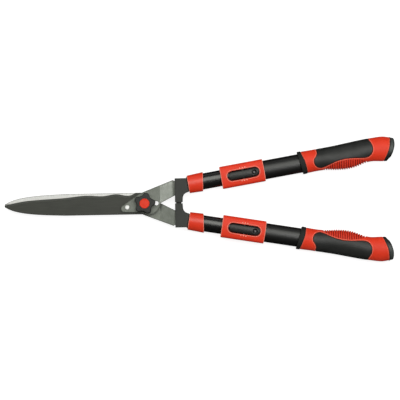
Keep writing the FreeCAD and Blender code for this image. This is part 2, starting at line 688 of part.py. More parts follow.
def make_sleeve(label, left):
    """Moulded sleeve over both tubes, with a window for the rocker in its upper face."""
    wide = size("sleeve_half_width") + 1
    start, end, bulge = size("sleeve_start"), size("sleeve_end"), size("sleeve_bulge")
    bar = new_body(label + "_bar")
    section = new_sketch(bar, label + "_section", sleeve_section(), "YZ_Plane", "dims.sleeve_start")
    pad(bar, section, "dims.sleeve_end - dims.sleeve_start + 2 * dims.sleeve_bulge")
    plan = outline(vector(start, -wide), vector(end, -wide), (vector(end + bulge, 0), vector(end, wide)),
                   vector(start, wide))
    block = common(label + "_block", bar, plan_prism(label + "_length", plan, "-20 mm", "40 mm"))
    block = round_edges(label + "_eased", block, 1.2, lambda edge: edge.BoundBox.XLength < bulge + 0.5)
    gap = "dims.slide_gap"
    front_bore = oval(label + "_front_bore", "dims.inner_half_width + " + gap,
                      "dims.inner_half_height + " + gap, "dims.sleeve_start - 5", "dims.sleeve_end")
    rear_bore = oval(label + "_rear_bore", "dims.outer_half_width", "dims.outer_half_height",
                     "dims.outer_start", "dims.sleeve_end + 5")
    window = box(label + "_window_block", "dims.window_length", "dims.window_width", "20 mm",
                 "dims.rocker_middle - dims.window_length / 2", "6 mm")
    window = round_edges(label + "_window", window, size("window_width") * 0.495,
                         lambda edge: runs_along(edge, Z))
    pin_hole = cylinder(label + "_pin_hole", "dims.pin_radius", "2 * dims.pin_half_length",
                        "dims.rocker_middle", "-dims.pin_half_length", "dims.pin_height",
                        LAID_ACROSS)
    return keep(cut(label, block, front_bore, rear_bore, window, pin_hole), label,
                at_handle(left, upright=True))


def make_rocker(label, left):
    """Rocker button: crowned pill with a thumb dimple, a hub on the pin and a tooth in front."""
    middle, length, width = size("rocker_middle"), size("rocker_length"), size("rocker_width")
    crown = size("sleeve_half_height") + size("rocker_rise")
    front, rear = middle - length / 2, middle + length / 2
    end_height = crown - 1.2
    front_bottom, rear_bottom, hub_bottom = 14.2, size("rocker_seat"), 11.6
    side = new_body(label + "_side")
    profile = outline(vector(front, end_height), (vector(middle, crown), vector(rear, end_height)),
                      vector(rear, rear_bottom), vector(middle + 5, rear_bottom),
                      vector(middle + 3, hub_bottom), vector(middle - 3, hub_bottom),
                      vector(middle - 5, front_bottom), vector(front, front_bottom))
    sketch = new_sketch(side, label + "_profile", profile, plane="XZ_Plane",
                        offset="-dims.rocker_width / 2")
    pad(side, sketch, "dims.rocker_width")
    pill = box(label + "_pill_block", "dims.rocker_length", "dims.rocker_width", THROUGH,
               "dims.rocker_middle - dims.rocker_length / 2", "0")
    pill = round_edges(label + "_pill", pill, width * 0.495, lambda edge: runs_along(edge, Z))
    tooth = cylinder(label + "_tooth", "dims.tooth_radius", "8.5 mm", "dims.tooth_position", z="6.2 mm")
    whole = fuse(label + "_whole", common(label + "_plate", side, pill), tooth)
    pin_hole = cylinder(label + "_pin_hole", "dims.pin_radius + dims.running_gap", THROUGH,
                        "dims.rocker_middle", "-(%s) / 2" % THROUGH, "dims.pin_height", LAID_ACROSS)
    dimple = document.addObject("Part::Sphere", label + "_dimple")
    bind(dimple, Radius="dims.dimple_radius", Placement__Base__x="dims.rocker_middle + dims.dimple_reach",
         Placement__Base__z="dims.sleeve_half_height + dims.dimple_height")
    return keep(cut(label, whole, pin_hole, dimple), label, at_handle(left, upright=True))


def make_rocker_pin(label, left):
    rod = bare(cylinder(label, "dims.pin_radius", "2 * dims.pin_half_length"))
    shift = FreeCAD.Placement(vector(size("rocker_middle"), -size("pin_half_length"), size("pin_height")),
                              LAID_ACROSS)
    return keep(rod, label, at_handle(left, upright=True).multiply(shift))


def make_rocker_spring(label, left):
    """Small compression spring that lifts the rocker's rear end."""
    coils = 3.5
    bottom = size("outer_half_height") + 0.1 + size("spring_wire")
    top = size("rocker_seat") - 0.05 - size("spring_wire")
    helix = document.addObject("Part::Helix", label + "_helix")
    helix.Pitch = (top - bottom) / coils
    helix.Height = top - bottom
    bind(helix, Radius="dims.spring_radius")
    wire = document.addObject("Part::Circle", label + "_wire")
    bind(wire, Radius="dims.spring_wire")
    wire.Placement = FreeCAD.Placement(vector(size("spring_radius"), 0, 0), FreeCAD.Rotation(X, 90))
    coil = document.addObject("Part::Sweep", label)
    coil.Sections = [wire]
    coil.Spine = (helix, ["Edge1"])
    coil.Solid = True
    coil.Frenet = True
    shift = FreeCAD.Placement(vector(size("spring_position"), 0, bottom), FreeCAD.Rotation())
    return keep(coil, label, at_handle(left, upright=True).multiply(shift))


# ---------------------------------------------------------------- grips

# along the handle: outer edge and inner edge of the grip from above
GRIP_EDGES = [(270, 20.4, -19.9), (286, 20.3, -19.7), (300, 19.9, -19.3), (314, 19.7, -19.1),
              (326, 19.6, -19.9), (340, 19.6, -22.5), (352, 19.8, -24.5), (366, 20.3, -25.6),
              (380, 20.8, -24.5), (392, 21.2, -21.8), (404, 21.4, -19.8), (414, 21.2, -20.4),
              (428, 20.9, -23.1), (438, 19.7, -24.4), (448, 16.3, -25.2), (462, 12.0, -26.0)]


def at_grip(left):
    """Frame of a grip: the handle's own, shifted on the left."""
    shift = vector(-size("left_grip_shift") if left else 0, 0, 0)
    return at_handle(left).multiply(FreeCAD.Placement(shift, FreeCAD.Rotation()))


def make_envelope(name, inset):
    """Whole grip, smaller all round by the inset."""
    high = size("grip_half_height") - inset
    return oval_loft(name, [(along, out - inset, inn + inset, high) for along, out, inn in GRIP_EDGES])


def boundary(points):
    return [vector(along, across) for along, across in points]


RING_FRONT = boundary([(280.4, 30), (287.4, -30)])
RING_REAR = boundary([(286.5, 30), (288.6, 19), (291.0, 10), (293.2, 0), (294.2, -10), (294.2, -20),
                      (294.0, -30)])
CAP_FRONT = boundary([(449.0, 30), (448.2, 15.5), (447.0, 9.5), (444.8, 1), (441.8, -6), (438.4, -12),
                      (434.2, -18.5), (431.0, -23), (426.0, -30)])
CAP_REAR = boundary([(455.0, 30), (455.8, 17), (455.5, 9.5), (453.8, 0), (449.6, -10), (444.0, -18),
                     (437.6, -24), (431.0, -30)])
OVERLAY_EDGE = boundary([(317.2, 30), (317.2, 19), (317.3, 11.5), (313.8, 5.6), (310.4, 1.2), (309.9, -4.8),
                         (312.3, -10.6), (317.8, -14.2), (325.0, -14.3), (334.5, -11.9), (346.0, -8.7),
                         (360.0, -6.9), (373.5, -7.5), (386.7, -9.5), (398.2, -11.0), (406.0, -9.6),
                         (412.8, -5.0), (416.4, 3.0), (415.4, 10.6), (411.8, 19.0), (409.5, 30)])


def band(name, front, rear):
    """Tall prism between two boundaries that cross the grip."""
    return plan_prism(name, outline(front[0], front[1:], rear[-1], list(reversed(rear[:-1]))),
                      "-30 mm", "60 mm")


def make_grip(side, left):
    """Front ring, ribbed core, soft overlay and end cap: one envelope parted by plan outlines."""
    skin = make_envelope(side + "_grip_envelope", 0)
    under = make_envelope(side + "_grip_under", size("overlay_depth"))

    def tube(name, start="dims.outer_start", end="dims.outer_end"):
        return oval(name, "dims.outer_half_width", "dims.outer_half_height", start, end)

    ring = common(side + "_ring_blank", skin, band(side + "_ring_band", RING_FRONT, RING_REAR))
    keep(cut(side + "_grip_ring", ring, tube(side + "_ring_bore")), side + "_grip_ring", at_grip(left))

    overlay_band = plan_prism(side + "_overlay_band", outline(OVERLAY_EDGE[0], OVERLAY_EDGE[1:]),
                              "-30 mm", "60 mm")
    overlay = cut(side + "_grip_overlay", common(side + "_overlay_blank", skin, overlay_band), under)
    keep(overlay, side + "_grip_overlay", at_grip(left))

    core = common(side + "_core_blank", skin, band(side + "_core_band", RING_REAR, CAP_FRONT))
    room = cut(side + "_overlay_room", common(side + "_overlay_copy", skin, overlay_band), under)
    stub_end = "dims.outer_end + 12"
    core_bore = tube(side + "_core_bore", end=stub_end)
    keep(cut(side + "_grip_core", core, room, core_bore), side + "_grip_core", at_grip(left))

    cap = common(side + "_cap_blank", skin, band(side + "_cap_band", CAP_FRONT, CAP_REAR))
    wall = "dims.outer_wall"
    plug = oval(side + "_cap_plug", "dims.outer_half_width - " + wall,
                "dims.outer_half_height - " + wall, "dims.outer_end - 20", "dims.outer_end + 4")
    stub = tube(side + "_cap_stub", "dims.outer_end", stub_end)
    shell = cut(side + "_cap_shell", cap, tube(side + "_cap_bore"))
    keep(fuse(side + "_cap_whole", shell, plug, stub), side + "_end_cap", at_grip(left))


# ---------------------------------------------------------------- document

make_blade("front_blade", False)
make_blade("back_blade", True)
make_lever("front_lever", False)
make_lever("back_lever", True)
make_blade_rivet("front_blade_rivet", False)
make_blade_rivet("back_blade_rivet", True)
make_pivot_bolt()
make_pivot_washer()
make_spring_washer()
make_knob()
make_knob_nut()
make_knob_cap()
for side, left in (("right", False), ("left", True)):
    make_yoke(side + "_yoke", left)
    make_buffer(side + "_buffer", left)
    make_tang_rivet(side + "_tang_rivet", left)
    make_collar(side + "_collar", left)
    make_inner_tube(side + "_inner_tube", left)
    make_guide_cap(side + "_guide_cap", left)
    make_outer_tube(side + "_outer_tube", left)
    make_sleeve(side + "_lock_sleeve", left)
    make_rocker(side + "_lock_rocker", left)
    make_rocker_pin(side + "_rocker_pin", left)
    make_rocker_spring(side + "_rocker_spring", left)
    make_grip(side, left)
document.recompute()

failed = [item.Name for item in document.Objects if {"Invalid", "Error"} & set(item.State)]
if failed:
    raise RuntimeError("failed: " + ", ".join(failed))
for node in nodes:
    if node.Shape.isNull() or not node.Shape.isValid() or not node.Shape.Solids:
        raise RuntimeError("bad shape: " + node.Label)

os.makedirs("parts", exist_ok=True)
for node in nodes:
    node.Shape.exportStep("parts/" + node.Label + ".step")
    print("%-20s %9.1f mm3, %d solid(s)" % (node.Label, node.Shape.Volume, len(node.Shape.Solids)))
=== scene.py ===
"""Looks of the telescopic hedge shears, closed and collapsed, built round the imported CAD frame.

Places are in metres in the CAD's frame: x along the shears from the tips to the grips, y across, z up.
Shapes of single pieces are written in millimetres of a handle's own frame: x along it from the foot of the
pivot, y outwards, z up on the right handle and down on the left one, which is turned over.
"""
import json
from math import atan2, cos, hypot, pi, radians, sin, sqrt

import bmesh
import bpy
import numpy as np
from mathutils import Matrix, Vector


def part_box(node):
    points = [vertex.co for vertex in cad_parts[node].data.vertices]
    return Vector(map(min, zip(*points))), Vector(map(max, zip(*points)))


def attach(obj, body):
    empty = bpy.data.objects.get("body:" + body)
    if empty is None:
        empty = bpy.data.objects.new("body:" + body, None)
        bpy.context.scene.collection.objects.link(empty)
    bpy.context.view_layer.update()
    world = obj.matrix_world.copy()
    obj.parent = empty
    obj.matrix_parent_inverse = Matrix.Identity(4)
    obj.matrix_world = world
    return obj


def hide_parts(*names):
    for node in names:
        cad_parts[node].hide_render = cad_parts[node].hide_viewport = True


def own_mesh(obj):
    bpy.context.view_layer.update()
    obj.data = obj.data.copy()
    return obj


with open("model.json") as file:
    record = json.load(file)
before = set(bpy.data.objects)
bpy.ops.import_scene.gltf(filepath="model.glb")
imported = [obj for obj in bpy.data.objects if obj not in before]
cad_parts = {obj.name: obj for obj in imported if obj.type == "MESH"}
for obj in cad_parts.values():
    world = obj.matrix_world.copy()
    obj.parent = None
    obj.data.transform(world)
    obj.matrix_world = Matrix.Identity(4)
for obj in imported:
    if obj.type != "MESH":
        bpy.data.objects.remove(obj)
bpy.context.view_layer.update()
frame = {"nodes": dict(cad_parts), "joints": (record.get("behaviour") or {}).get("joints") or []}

MM = 0.001
nodes = frame["nodes"]
joints = {joint["name"]: joint for joint in frame["joints"]}
PIVOT = Vector(joints["blade_pivot"]["pos_m"])
SIDES = ("right", "left")
HANDLE_TURN = {side: atan2(joints[side + "_telescope"]["axis"][1], joints[side + "_telescope"]["axis"][0])
               for side in SIDES}


def handle_place(side, upright=False):
    """Frame of a handle, from its telescope's axis and its rocker's pin."""
    along = Vector(joints[side + "_telescope"]["axis"]).normalized()
    up = Vector((0, 0, 1 if upright or side == "right" else -1))
    outwards = up.cross(along)
    pin = Vector(joints[side + "_lock"]["pos_m"])
    foot = pin - along * (pin - PIVOT).dot(along)
    foot.z = PIVOT.z
    place = Matrix((along, outwards, up)).transposed().to_4x4()
    place.translation = foot
    return place


def grip_place(side):
    """Frame of a grip. The left grip sits a little nearer to the pivot, which its end cap's place shows."""
    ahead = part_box("right_end_cap")[1].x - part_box(side + "_end_cap")[1].x
    return handle_place(side) @ Matrix.Translation((-ahead / cos(HANDLE_TURN[side]), 0, 0))


# ---------------------------------------------------------------- materials

class Look:
    """A material with a Principled shader, and helpers that wire procedural detail into it."""

    def __init__(self, name, **constants):
        self.material = bpy.data.materials.new(name)
        self.material.use_nodes = True
        self.tree = self.material.node_tree
        self.shader = self.tree.nodes["Principled BSDF"]
        for socket, value in constants.items():
            self.shader.inputs[socket.replace("_", " ")].default_value = value
        self.place = self.node("ShaderNodeTexCoord").outputs["Object"]
        self.normal = None

    def node(self, kind, inputs=None, **settings):
        """New node with settings, and inputs that are either values or other nodes' outputs."""
        made = self.tree.nodes.new(kind)
        for name, value in settings.items():
            setattr(made, name, value)
        for socket, value in (inputs or {}).items():
            if isinstance(value, bpy.types.NodeSocket):
                self.tree.links.new(value, made.inputs[socket])
            else:
                made.inputs[socket].default_value = value
        return made

    def noise(self, per_mm, stretch=(1, 1, 1), turn=0.0, detail=2.0):
        """Noise with so many grains to a millimetre, stretched along the turned axes."""
        turned = self.node("ShaderNodeMapping", {"Vector": self.place, "Rotation": (0, 0, -turn)})
        scaled = self.node("ShaderNodeMapping", {"Vector": turned.outputs[0],
                                                 "Scale": [1 / s for s in stretch]})
        made = self.node("ShaderNodeTexNoise", {"Vector": scaled.outputs[0], "Scale": per_mm / MM,
                                                "Detail": detail})
        return made.outputs["Fac"]

    def ramp(self, value, start, end, low=0.0, high=1.0):
        """Straight ramp of a value, held at its ends."""
        made = self.node("ShaderNodeMapRange", {"Value": value, "From Min": start, "From Max": end,
                                                "To Min": low, "To Max": high})
        return made.outputs["Result"]

    def maths(self, operation, first, second=0.0):
        """Result of one math node."""
        return self.node("ShaderNodeMath", {0: first, 1: second}, operation=operation).outputs[0]

    def mixed(self, share, first, second):
        """Colour that goes from the first to the second with the share."""
        first, second = ((*c, 1.0) if isinstance(c, tuple) else c for c in (first, second))
        made = self.node("ShaderNodeMix", {"Factor": share, 6: first, 7: second}, data_type="RGBA")
        return made.outputs[2]

    def parts(self, vector):
        """The x, y and z of a vector."""
        return self.node("ShaderNodeSeparateXYZ", {0: vector}).outputs

    def mark(self, name):
        """Value that a piece's mesh keeps at its points, such as the depth of a groove."""
        return self.node("ShaderNodeAttribute", attribute_name=name).outputs["Fac"]

    def edges(self, radius_mm, start=0.98, end=0.75):
        """Near 1 along sharp edges, 0 on open faces. Start and end near 1 make the line broader."""
        rounded = self.node("ShaderNodeBevel", {"Radius": radius_mm * MM}, samples=6).outputs[0]
        flat = self.node("ShaderNodeNewGeometry").outputs["Normal"]
        facing = self.node("ShaderNodeVectorMath", {0: rounded, 1: flat}, operation="DOT_PRODUCT")
        return self.ramp(facing.outputs["Value"], start, end)

    def bump(self, height, depth_mm):
        """Relief of the given depth, laid over any before it."""
        inputs = {"Height": height, "Distance": depth_mm * MM, "Strength": 1.0}
        if self.normal:
            inputs["Normal"] = self.normal
        self.normal = self.node("ShaderNodeBump", inputs).outputs[0]

    def rounded(self, radius_mm):
        """Shading of edges as if they had this radius."""
        self.normal = self.node("ShaderNodeBevel", {"Radius": radius_mm * MM}, samples=6).outputs[0]

    def done(self, **links):
        """Wire sockets of the shader and the gathered normal, and hand over the material."""
        for socket, value in links.items():
            self.tree.links.new(value, self.shader.inputs[socket.replace("_", " ")])
        if self.normal:
            self.tree.links.new(self.normal, self.shader.inputs["Normal"])
        return self.material


PALE_RED = (0.86, 0.21, 0.14)
LIGHT_RED = (0.93, 0.34, 0.25)


def red_plastic(name="red_plastic", grooved=False, ior=1.36, rough=(0.46, 0.58), rim_highlight_turn=None, pale=0.0):
    """Moulded red with faint flow marks, its edges paler with painted highlight and wear. A grooved piece
    gets painted shade between its ribs and round its pad, and a painted highlight on the pad's lip and at its
    ends.
    With a rim_highlight_turn, the rounded rims of a piece that lies along that direction get a painted
    highlight, and pale lays a paler red over it all as a painted highlight."""
    look = Look(name, IOR=ior)
    look.rounded(0.5)
    flow = look.noise(0.04, detail=3.0)
    base = look.mixed(look.ramp(flow, 0.35, 0.65), (0.65, 0.029, 0.006), (0.70, 0.034, 0.009))
    # painted highlight along the edges, broken up by wear noise
    highlight_and_wear = look.maths("MULTIPLY", look.edges(1.3), look.ramp(look.noise(0.6, detail=4.0), 0.3, 0.7, 0.5, 0.9))
    base = look.mixed(highlight_and_wear, base, PALE_RED)
    # pale lays a paler red over the whole piece as a painted highlight
    base = look.mixed(pale, base, LIGHT_RED)
    if rim_highlight_turn is not None:
        # painted highlight on rims whose faces lean along the piece
        normal = look.node("ShaderNodeTexCoord").outputs["Normal"]
        along = look.node("ShaderNodeVectorMath", {0: normal, 1: (cos(rim_highlight_turn), sin(rim_highlight_turn), 0)},
                          operation="DOT_PRODUCT").outputs["Value"]
        slant = look.maths("ABSOLUTE", along)
        rim = look.maths("MULTIPLY", look.ramp(slant, 0.15, 0.4), look.ramp(slant, 0.98, 0.88))
        base = look.mixed(rim, base, LIGHT_RED)
    if grooved:
        # painted highlight on the lip round the pad and at the core's ends
        base = look.mixed(look.mark("edge_highlight"), base, (0.80, 0.16, 0.10))
        # painted shade between the ribs
        base = look.mixed(look.mark("groove"), base, (0.30, 0.007, 0.003))
        # painted shade in the groove round the pad
        base = look.mixed(look.mark("pad_shade"), base, (0.03, 0.006, 0.004))
    look.bump(look.noise(2.2, detail=3.0), 0.012)
    return look.done(Base_Color=base, Roughness=look.ramp(look.noise(0.9, detail=4.0), 0.3, 0.7, *rough))


def black_plastic(name="black_plastic", ior=1.48, rough=(0.42, 0.56), banded=False):
    """Moulded black with a fine eroded grain and edges made grey by painted highlight and wear. A band of it
    can be paler.
    """
    look = Look(name, IOR=ior)
    look.rounded(0.4)
    tone = look.mixed(look.noise(0.08, detail=3.0), (0.010, 0.011, 0.010), (0.018, 0.019, 0.018))
    # edges turn grey with painted highlight, broken up by wear noise
    highlight_and_wear = look.maths("MULTIPLY", look.edges(0.4), look.noise(0.5, detail=4.0))
    tone = look.mixed(highlight_and_wear, tone, (0.07, 0.072, 0.07))
    if banded:
        tone = look.mixed(look.mark("pale"), tone, (0.045, 0.052, 0.050))
    look.bump(look.noise(3.5, detail=2.0), 0.02)
    return look.done(Base_Color=tone, Roughness=look.ramp(look.noise(1.4, detail=3.0), 0.3, 0.7, *rough))


def yoke_plastic():
    """Glass-filled dark grey plastic: matte, with a sandy grain."""
    look = Look("yoke_plastic", IOR=1.46)
    look.rounded(0.5)
    tone = look.mixed(look.noise(0.06, detail=4.0), (0.030, 0.032, 0.029), (0.040, 0.042, 0.038))
    # edges lighter with painted highlight, broken up by wear noise
    highlight_and_wear = look.maths("MULTIPLY", look.edges(0.5), look.noise(0.4, detail=4.0))
    tone = look.mixed(highlight_and_wear, tone, (0.085, 0.087, 0.083))
    look.bump(look.noise(2.0, detail=4.0), 0.03)
    rough = look.ramp(look.noise(1.0, detail=3.0), 0.3, 0.7, 0.62, 0.75)
    return look.done(Base_Color=tone, Roughness=rough)


def soft_overlay():
    """Dark grey thermoplastic rubber with a dry, slightly dusty surface."""
    look = Look("soft_overlay", IOR=1.52)
    dust = look.noise(0.05, detail=5.0)
    tone = look.mixed(look.ramp(dust, 0.35, 0.7), (0.012, 0.013, 0.012), (0.019, 0.020, 0.019))
    look.bump(look.noise(2.6, detail=3.0), 0.03)
    look.bump(look.noise(0.7, detail=2.0), 0.03)
    rough = look.ramp(look.noise(1.2, detail=3.0), 0.3, 0.7, 0.44, 0.56)
    return look.done(Base_Color=tone, Roughness=rough)


def rocker_plastic():
    """Dark glass-filled plastic of the rockers: satin, with a painted highlight on its edges, and painted
    shade and a painted highlight in the thumb dimple.
    """
    look = Look("rocker_plastic", IOR=1.50)
    look.rounded(0.4)
    tone = look.mixed(look.noise(0.12, detail=4.0), (0.010, 0.011, 0.010), (0.018, 0.020, 0.018))
    # painted highlight along the edges
    tone = look.mixed(look.maths("MULTIPLY", look.edges(0.5), 0.6), tone, (0.09, 0.092, 0.088))
    # painted shade on a ring round the dimple's wall
    tone = look.mixed(look.mark("shade"), tone, (0.002, 0.002, 0.002))
    # painted highlight in the dimple's middle
    tone = look.mixed(look.mark("highlight_and_wear"), tone, (0.16, 0.15, 0.16))
    look.bump(look.noise(1.8, detail=4.0), 0.03)
    return look.done(Base_Color=tone, Roughness=look.ramp(look.noise(0.7, detail=3.0), 0.3, 0.7, 0.34, 0.46))


def buffer_rubber():
    """Black rubber with a coarse, chalky grain."""
    look = Look("buffer_rubber", IOR=1.5)
    tone = look.mixed(look.noise(0.4, detail=4.0), (0.016, 0.016, 0.016), (0.03, 0.03, 0.03))
    look.bump(look.noise(1.6, detail=4.0), 0.06)
    return look.done(Base_Color=tone, Roughness=look.ramp(look.noise(1.0), 0.3, 0.7, 0.75, 0.92))


def tube_paint(side, kind, ior, rough):
    """Black coat: a fine orange peel, and faint rub lines along the tube. The inner tube's is glossier."""
    look = Look("%s_%s_paint" % (side, kind), IOR=ior)
    turn = HANDLE_TURN[side]
    rubs = look.noise(1.5, stretch=(60, 1, 1), turn=turn, detail=3.0)
    tone = look.mixed(look.ramp(rubs, 0.55, 0.8), (0.005, 0.005, 0.005), (0.012, 0.012, 0.011))
    look.bump(look.noise(1.1, detail=2.0), 0.015)
    return look.done(Base_Color=tone, Roughness=look.ramp(look.noise(0.8, detail=4.0), 0.3, 0.7, *rough))


# the part of a blade's inner face that the other blade rubs, in mm: it reaches so far towards the spine
# up to the first distance from the pivot, and narrows from there to the second
RUBBED_REACH, RUBBED_TIP_REACH = 14.5, 5.5
RUBBED_FULL, RUBBED_TIP = 100, 232


def coated_blade(name, outer_sign):
    """Blade whose outer face is coated; outer_sign is +1 where that face looks up. The bevel and the inner
    face are ground steel: bright along the spine, satin where the other blade rubs over it."""
    look = Look(name)
    facing = look.parts(look.node("ShaderNodeTexCoord").outputs["Normal"])[2]
    outer = look.maths("MULTIPLY", facing, float(outer_sign))
    coat = look.ramp(outer, 0.90, 0.97)
    bare = look.ramp(outer, -0.5, -0.8)
    mottled = look.noise(0.09, stretch=(2.5, 1, 1), detail=5.0)
    rolled = look.noise(0.9, stretch=(30, 1, 1), detail=3.0)
    dark = look.mixed(mottled, (0.031, 0.033, 0.027), (0.046, 0.048, 0.039))
    dark = look.mixed(look.ramp(rolled, 0.5, 0.75, 0.0, 0.35), dark, (0.085, 0.088, 0.078))
    cross = look.noise(1.6, stretch=(1, 14, 1), detail=4.0)
    ground = look.mixed(look.ramp(cross, 0.3, 0.7), (0.056, 0.058, 0.050), (0.095, 0.098, 0.086))
    polish = look.noise(2.0, stretch=(1, 25, 1), detail=4.0)
    bright = look.mixed(look.ramp(polish, 0.3, 0.7), (0.60, 0.60, 0.58), (0.80, 0.80, 0.79))
    position = look.parts(look.place)
    along = look.maths("SUBTRACT", PIVOT.x, position[0])
    across = look.maths("MULTIPLY", position[1], -float(outer_sign))
    rubbed_to = look.ramp(along, RUBBED_FULL * MM, RUBBED_TIP * MM, RUBBED_REACH * MM, RUBBED_TIP_REACH * MM)
    covered = look.maths("SUBTRACT", rubbed_to, across)
    satin = look.mixed(look.ramp(polish, 0.3, 0.7), (0.23, 0.235, 0.22), (0.32, 0.325, 0.31))
    bright = look.mixed(look.ramp(covered, 1.0 * MM, 3.0 * MM), bright, satin)
    tone = look.mixed(bare, look.mixed(coat, ground, dark), bright)
    # painted shade along the blade's edges
    tone = look.mixed(look.maths("MULTIPLY", look.edges(2.0, 0.998, 0.93), 0.8), tone, (0.012, 0.012, 0.010))
    rough = look.ramp(rolled, 0.3, 0.7, 0.46, 0.60)
    look.bump(cross, 0.010)
    look.bump(look.noise(1.4, detail=4.0), 0.008)
    return look.done(Base_Color=tone, Roughness=rough, Metallic=look.ramp(bare, 0, 1, 0.25, 0.55))


def lever_steel(name, shade):
    """Grey plated plate: fine rolling lines, small stains, dark outlines of painted shade along its edges."""
    look = Look(name, Metallic=0.55)
    look.rounded(0.35)
    lines = look.noise(1.3, stretch=(1, 18, 1), turn=radians(25), detail=4.0)
    stain = look.noise(0.10, detail=5.0)
    tone = look.mixed(look.ramp(stain, 0.3, 0.7), (0.165, 0.180, 0.155), (0.215, 0.230, 0.205))
    tone = look.mixed(look.ramp(lines, 0.45, 0.75, 0.0, 0.5), tone, (0.28, 0.295, 0.27))
    # painted shade: this copy of the steel is darker by the share
    tone = look.mixed(shade, tone, (0.060, 0.062, 0.054))
    # painted shade along the plate's edges
    tone = look.mixed(look.maths("MULTIPLY", look.edges(2.6, 0.998, 0.93), 0.9), tone, (0.022, 0.023, 0.018))
    look.bump(lines, 0.008)
    rough = look.ramp(look.noise(0.8, detail=4.0), 0.3, 0.7, 0.34, 0.46)
    return look.done(Base_Color=tone, Roughness=rough)


def dark_steel():
    """Blued steel of the rocker's pin and spring, with brighter scratches."""
    look = Look("dark_steel", Metallic=0.7)
    scratch = look.noise(2.0, stretch=(1, 8, 1), detail=3.0)
    tone = look.mixed(look.ramp(scratch, 0.4, 0.75), (0.030, 0.028, 0.026), (0.09, 0.085, 0.08))
    look.bump(scratch, 0.006)
    return look.done(Base_Color=tone, Roughness=look.ramp(look.noise(0.9), 0.3, 0.7, 0.35, 0.5))


def rivet_steel():
    """Pale zinc on the blade rivets: half matte, with a hammered haze."""
    look = Look("rivet_steel", Metallic=0.25)
    look.rounded(0.25)
    haze = look.noise(0.7, detail=5.0)
    tone = look.mixed(haze, (0.78, 0.79, 0.78), (0.90, 0.90, 0.89))
    look.bump(look.noise(2.4, detail=3.0), 0.01)
    return look.done(Base_Color=tone, Roughness=look.ramp(haze, 0.3, 0.7, 0.30, 0.45))


def bright_steel():
    """Zinc plated fasteners with fine scratches."""
    look = Look("bright_steel", Metallic=0.85)
    look.rounded(0.25)
    haze = look.noise(0.5, detail=5.0)
    tone = look.mixed(haze, (0.66, 0.66, 0.64), (0.84, 0.84, 0.83))
    look.bump(look.noise(3.0, stretch=(1, 6, 1), detail=3.0), 0.006)
    return look.done(Base_Color=tone, Roughness=look.ramp(haze, 0.3, 0.7, 0.24, 0.38))


RED, BLACK, YOKE = red_plastic(), black_plastic(), yoke_plastic()
SOFT, BUFFER, BRIGHT = soft_overlay(), buffer_rubber(), bright_steel()
# the front lever's copy carries more painted shade than the back lever's
FRONT_LEVER, BACK_LEVER = lever_steel("front_lever_steel", 0.22), lever_steel("back_lever_steel", 0.03)
OUTER_TUBES = {side: tube_paint(side, "outer", 1.65, (0.34, 0.40)) for side in SIDES}
INNER_TUBES = {side: tube_paint(side, "inner", 1.85, (0.21, 0.27)) for side in SIDES}
FRONT_BLADE = coated_blade("front_blade_steel", 1)
BACK_BLADE = coated_blade("back_blade_steel", -1)
GROOVED_RED = red_plastic("grooved_red", grooved=True)
# the bead and the dots carry a paler red as a painted highlight
BEAD_RED = red_plastic("bead_red", ior=1.5, rough=(0.30, 0.38), pale=0.35)
DOT_RED = red_plastic("dot_red", ior=1.5, rough=(0.30, 0.38), pale=1.0)
COLLAR_RED = {side: red_plastic(side + "_collar_red", ior=1.55, rough=(0.29, 0.36),
                                rim_highlight_turn=HANDLE_TURN[side])
              for side in SIDES}
SLEEVE_RED = {side: red_plastic(side + "_sleeve_red", rim_highlight_turn=HANDLE_TURN[side]) for side in SIDES}
RING, BANDED = black_plastic("ring_black", 1.33, (0.60, 0.70)), black_plastic("banded_black", banded=True)
RIVET, DARK_STEEL, ROCKER = rivet_steel(), dark_steel(), rocker_plastic()

LOOKS = {
    "front_blade": FRONT_BLADE, "back_blade": BACK_BLADE,
    "front_lever": FRONT_LEVER, "back_lever": BACK_LEVER,
    "front_blade_rivet": RIVET, "back_blade_rivet": RIVET, "pivot_bolt": BRIGHT, "pivot_washer": BRIGHT,
    "spring_washer": BRIGHT, "tension_knob": BLACK, "knob_nut": BRIGHT, "knob_cap": RED,
}
SIDE_LOOKS = {
    "yoke": YOKE, "buffer": BUFFER, "tang_rivet": BRIGHT, "guide_cap": BLACK,
    "rocker_pin": DARK_STEEL, "rocker_spring": DARK_STEEL, "lock_rocker": ROCKER,
    "grip_ring": RING, "grip_core": RED, "grip_overlay": SOFT, "end_cap": BANDED,
}
for side in SIDES:
    LOOKS.update({side + "_" + part: look for part, look in SIDE_LOOKS.items()})
    LOOKS.update({side + "_inner_tube": INNER_TUBES[side], side + "_outer_tube": OUTER_TUBES[side],
                  side + "_collar": COLLAR_RED[side], side + "_lock_sleeve": SLEEVE_RED[side]})
for name, item in nodes.items():
    item.data.materials.clear()
    item.data.materials.append(LOOKS[name])


# ---------------------------------------------------------------- mesh helpers

def curve(knots, values):
    """Natural cubic spline through values at rising knots, as a function of arrays."""
    x, y = np.array(knots, float), np.array(values, float)
    step = np.diff(x)
    size = len(x)
    matrix, right = np.eye(size), np.zeros(size)
    for i in range(1, size - 1):
        matrix[i, i - 1:i + 2] = step[i - 1], 2 * (step[i - 1] + step[i]), step[i]
        right[i] = 6 * ((y[i + 1] - y[i]) / step[i] - (y[i] - y[i - 1]) / step[i - 1])
    bend = np.linalg.solve(matrix, right)

    def value(at):
        at = np.clip(at, x[0], x[-1])
        i = np.clip(np.searchsorted(x, at) - 1, 0, size - 2)
        a, b, h = x[i + 1] - at, at - x[i], step[i]
        return ((bend[i] * a ** 3 + bend[i + 1] * b ** 3) / (6 * h)
                + (y[i] / h - bend[i] * h / 6) * a + (y[i + 1] / h - bend[i + 1] * h / 6) * b)
    return value


def smooth_step(value, start, end):
    """Smooth rise from 0 at the start to 1 at the end. The start may be the larger one."""
    share = np.clip((value - start) / (end - start), 0, 1)
    return share * share * (3 - 2 * share)


